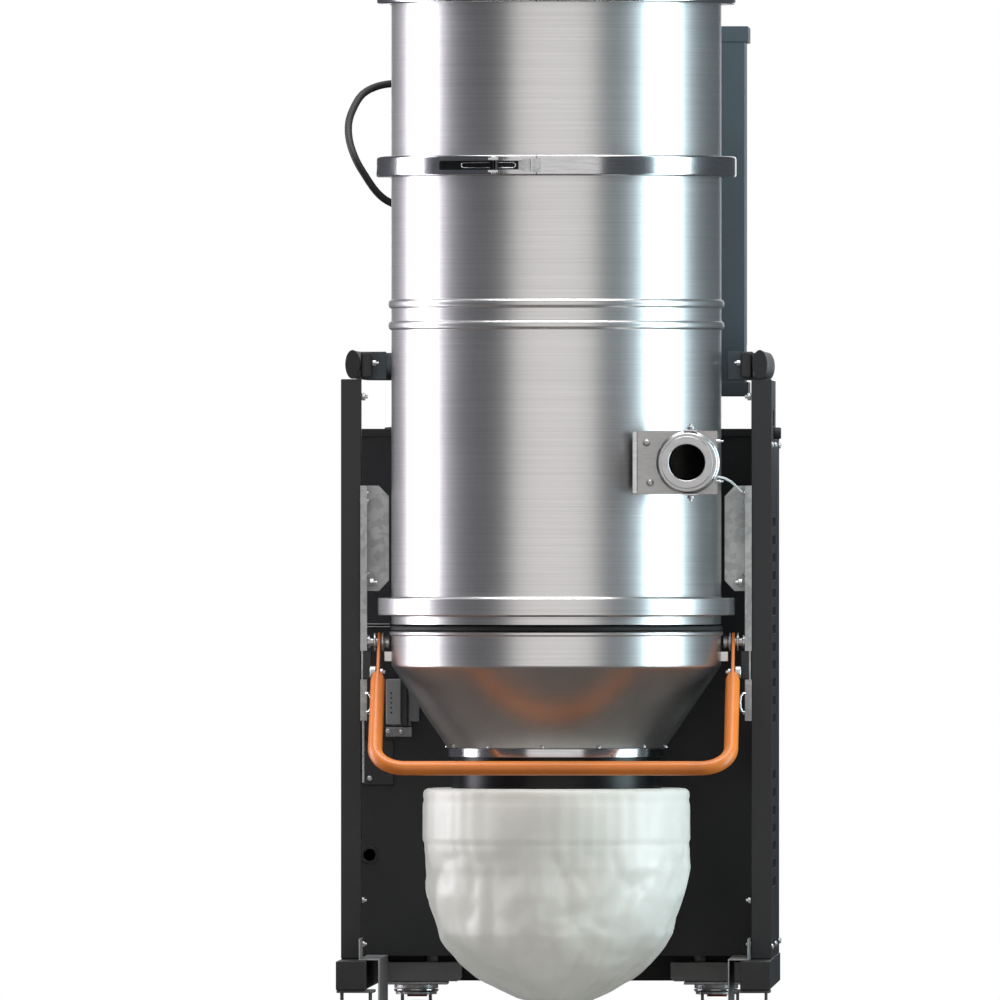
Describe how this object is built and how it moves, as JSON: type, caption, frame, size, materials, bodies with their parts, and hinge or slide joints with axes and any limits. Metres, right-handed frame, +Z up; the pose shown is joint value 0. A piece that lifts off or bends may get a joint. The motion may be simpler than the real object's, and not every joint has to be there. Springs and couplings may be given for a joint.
{
  "type": "dust collector",
  "caption": "Wheeled industrial dust collector: stainless drum and filter chamber over a hopper with a drop-down endless bag, bail lift and rear blower cabinet.",
  "frame": {"origin": "on the floor, under the middle of the machine's box", "axes": "+Z up, the drum at the front facing -Y, the handle at the back, +X to the right seen from the front"},
  "size_m": [0.602, 0.968, 1.622],
  "materials": {
    "brushed_steel": "horizontally brushed stainless steel",
    "dark_paint": "fine-textured dark powder coat",
    "grey_paint": "satin grey paint",
    "zinc": "galvanised steel with a fine spangle",
    "orange_paint": "satin orange powder coat",
    "black_plastic": "glossy black moulding",
    "rubber": "black rubber",
    "wheel_rubber": "dark grey rubber",
    "film": "creased translucent polythene",
    "filter_cloth": "pleated polyester felt",
    "red_plastic": "red moulding",
    "green_plastic": "green moulding"
  },
  "bodies": {
    "frame": {"drum": "brushed_steel", "filter_chamber": "brushed_steel", "lid": "brushed_steel", "clamp_ring_mid": "brushed_steel", "clamp_ring_top": "brushed_steel", "inlet_box": "brushed_steel", "inlet_tube": "brushed_steel", "base_rail_left": "dark_paint", "base_rail_right": "dark_paint", "post_left": "dark_paint", "post_right": "dark_paint", "rear_cross_rail": "dark_paint", "cabinet_shell": "dark_paint", "cabinet_side_right": "dark_paint", "cabinet_rear_panel": "dark_paint", "suction_pipe": "dark_paint", "handle": "dark_paint", "electrical_cupboard": "dark_paint", "cupboard_stand": "dark_paint", "castor_mount_left": "grey_paint", "castor_mount_right": "grey_paint", "blower_housing": "grey_paint", "blower_motor": "grey_paint", "exhaust_silencer": "grey_paint", "bag_tray": "zinc", "blower_shelf": "zinc", "filter_plate": "zinc", "side_bracket_left": "zinc", "side_bracket_right": "zinc", "bail_pivot_left": "zinc", "bail_pivot_right": "zinc", "lead_fitting": "zinc", "front_castor_bracket_left": "zinc", "front_castor_bracket_right": "zinc", "rear_castor_plate_left": "zinc", "rear_castor_plate_right": "zinc", "terminal_block": "black_plastic", "control_lead": "rubber", "filter_cartridge": "filter_cloth"},
    "bail": {"bail_lever": "orange_paint"},
    "hopper_unit": {"hopper": "brushed_steel", "hopper_seal": "rubber", "neck_ring": "brushed_steel", "bag_magazine": "black_plastic", "bag": "film"},
    "latch_mid": {"latch_lever_mid": "brushed_steel"},
    "latch_top": {"latch_lever_top": "brushed_steel"},
    "impeller": {"blower_impeller": "zinc"},
    "cupboard_door": {"cupboard_door": "dark_paint"},
    "main_switch": {"main_switch": "red_plastic"},
    "start_button": {"start_button": "green_plastic"},
    "stop_button": {"stop_button": "red_plastic"},
    "front_wheel_left": {"front_castor_wheel_left": "wheel_rubber"},
    "rear_fork_left": {"rear_castor_fork_left": "zinc"},
    "rear_wheel_left": {"rear_castor_wheel_left": "wheel_rubber"},
    "brake_left": {"brake_pedal_left": "red_plastic"},
    "front_wheel_right": {"front_castor_wheel_right": "wheel_rubber"},
    "rear_fork_right": {"rear_castor_fork_right": "zinc"},
    "rear_wheel_right": {"rear_castor_wheel_right": "wheel_rubber"},
    "brake_right": {"brake_pedal_right": "red_plastic"}
  },
  "joints": [
    {"name": "bail_lift", "type": "hinge", "parent": "frame", "child": "bail", "pos_m": [0, -0.194, 0.609], "axis": [-1, 0, 0], "range_deg": [0, 60]},
    {"name": "hopper_lower", "type": "slide", "parent": "frame", "child": "hopper_unit", "axis": [0, 0, -1], "range_m": [0, 0.02]},
    {"name": "latch_mid_swing", "type": "hinge", "parent": "frame", "child": "latch_mid", "pos_m": [-0.081, -0.4419, 1.271], "axis": [0, 0, 1], "range_deg": [0, 110]},
    {"name": "latch_top_swing", "type": "hinge", "parent": "frame", "child": "latch_top", "pos_m": [-0.081, -0.4419, 1.512], "axis": [0, 0, 1], "range_deg": [0, 110]},
    {"name": "impeller_spin", "type": "hinge", "parent": "frame", "child": "impeller", "pos_m": [-0.06, 0.236, 0.345], "axis": [1, 0, 0], "continuous": true},
    {"name": "door_swing", "type": "hinge", "parent": "frame", "child": "cupboard_door", "pos_m": [-0.121, 0.267, 1.248], "axis": [0, 0, 1], "range_deg": [0, 95]},
    {"name": "main_switch_turn", "type": "hinge", "parent": "cupboard_door", "child": "main_switch", "pos_m": [0.0705, 0.276, 1.36], "axis": [0, 1, 0], "range_deg": [0, 90]},
    {"name": "start_press", "type": "slide", "parent": "cupboard_door", "child": "start_button", "axis": [0, -1, 0], "range_m": [0, 0.004], "stiffness_N_per_m": 400, "springref_m": -0.001},
    {"name": "stop_press", "type": "slide", "parent": "cupboard_door", "child": "stop_button", "axis": [0, -1, 0], "range_m": [0, 0.004], "stiffness_N_per_m": 400, "springref_m": -0.001},
    {"name": "front_wheel_left_roll", "type": "hinge", "parent": "frame", "child": "front_wheel_left", "pos_m": [-0.275, -0.324, 0.05], "axis": [1, 0, 0], "continuous": true},
    {"name": "rear_castor_left_swivel", "type": "hinge", "parent": "frame", "child": "rear_fork_left", "pos_m": [-0.212, 0.346, 0.115], "axis": [0, 0, 1], "continuous": true},
    {"name": "rear_wheel_left_roll", "type": "hinge", "parent": "rear_fork_left", "child": "rear_wheel_left", "pos_m": [-0.212, 0.376, 0.05], "axis": [1, 0, 0], "continuous": true},
    {"name": "brake_left_press", "type": "hinge", "parent": "rear_fork_left", "child": "brake_left", "pos_m": [-0.212, 0.384, 0.109], "axis": [-1, 0, 0], "range_deg": [0, 12]},
    {"name": "front_wheel_right_roll", "type": "hinge", "parent": "frame", "child": "front_wheel_right", "pos_m": [0.275, -0.324, 0.05], "axis": [1, 0, 0], "continuous": true},
    {"name": "rear_castor_right_swivel", "type": "hinge", "parent": "frame", "child": "rear_fork_right", "pos_m": [0.212, 0.346, 0.115], "axis": [0, 0, 1], "continuous": true},
    {"name": "rear_wheel_right_roll", "type": "hinge", "parent": "rear_fork_right", "child": "rear_wheel_right", "pos_m": [0.212, 0.376, 0.05], "axis": [1, 0, 0], "continuous": true},
    {"name": "brake_right_press", "type": "hinge", "parent": "rear_fork_right", "child": "brake_right", "pos_m": [0.212, 0.384, 0.109], "axis": [-1, 0, 0], "range_deg": [0, 12]}
  ],
  "couplings": [
    {"joint": "hopper_lower", "follows": "bail_lift", "m_per_rad": 0.019}
  ]
}
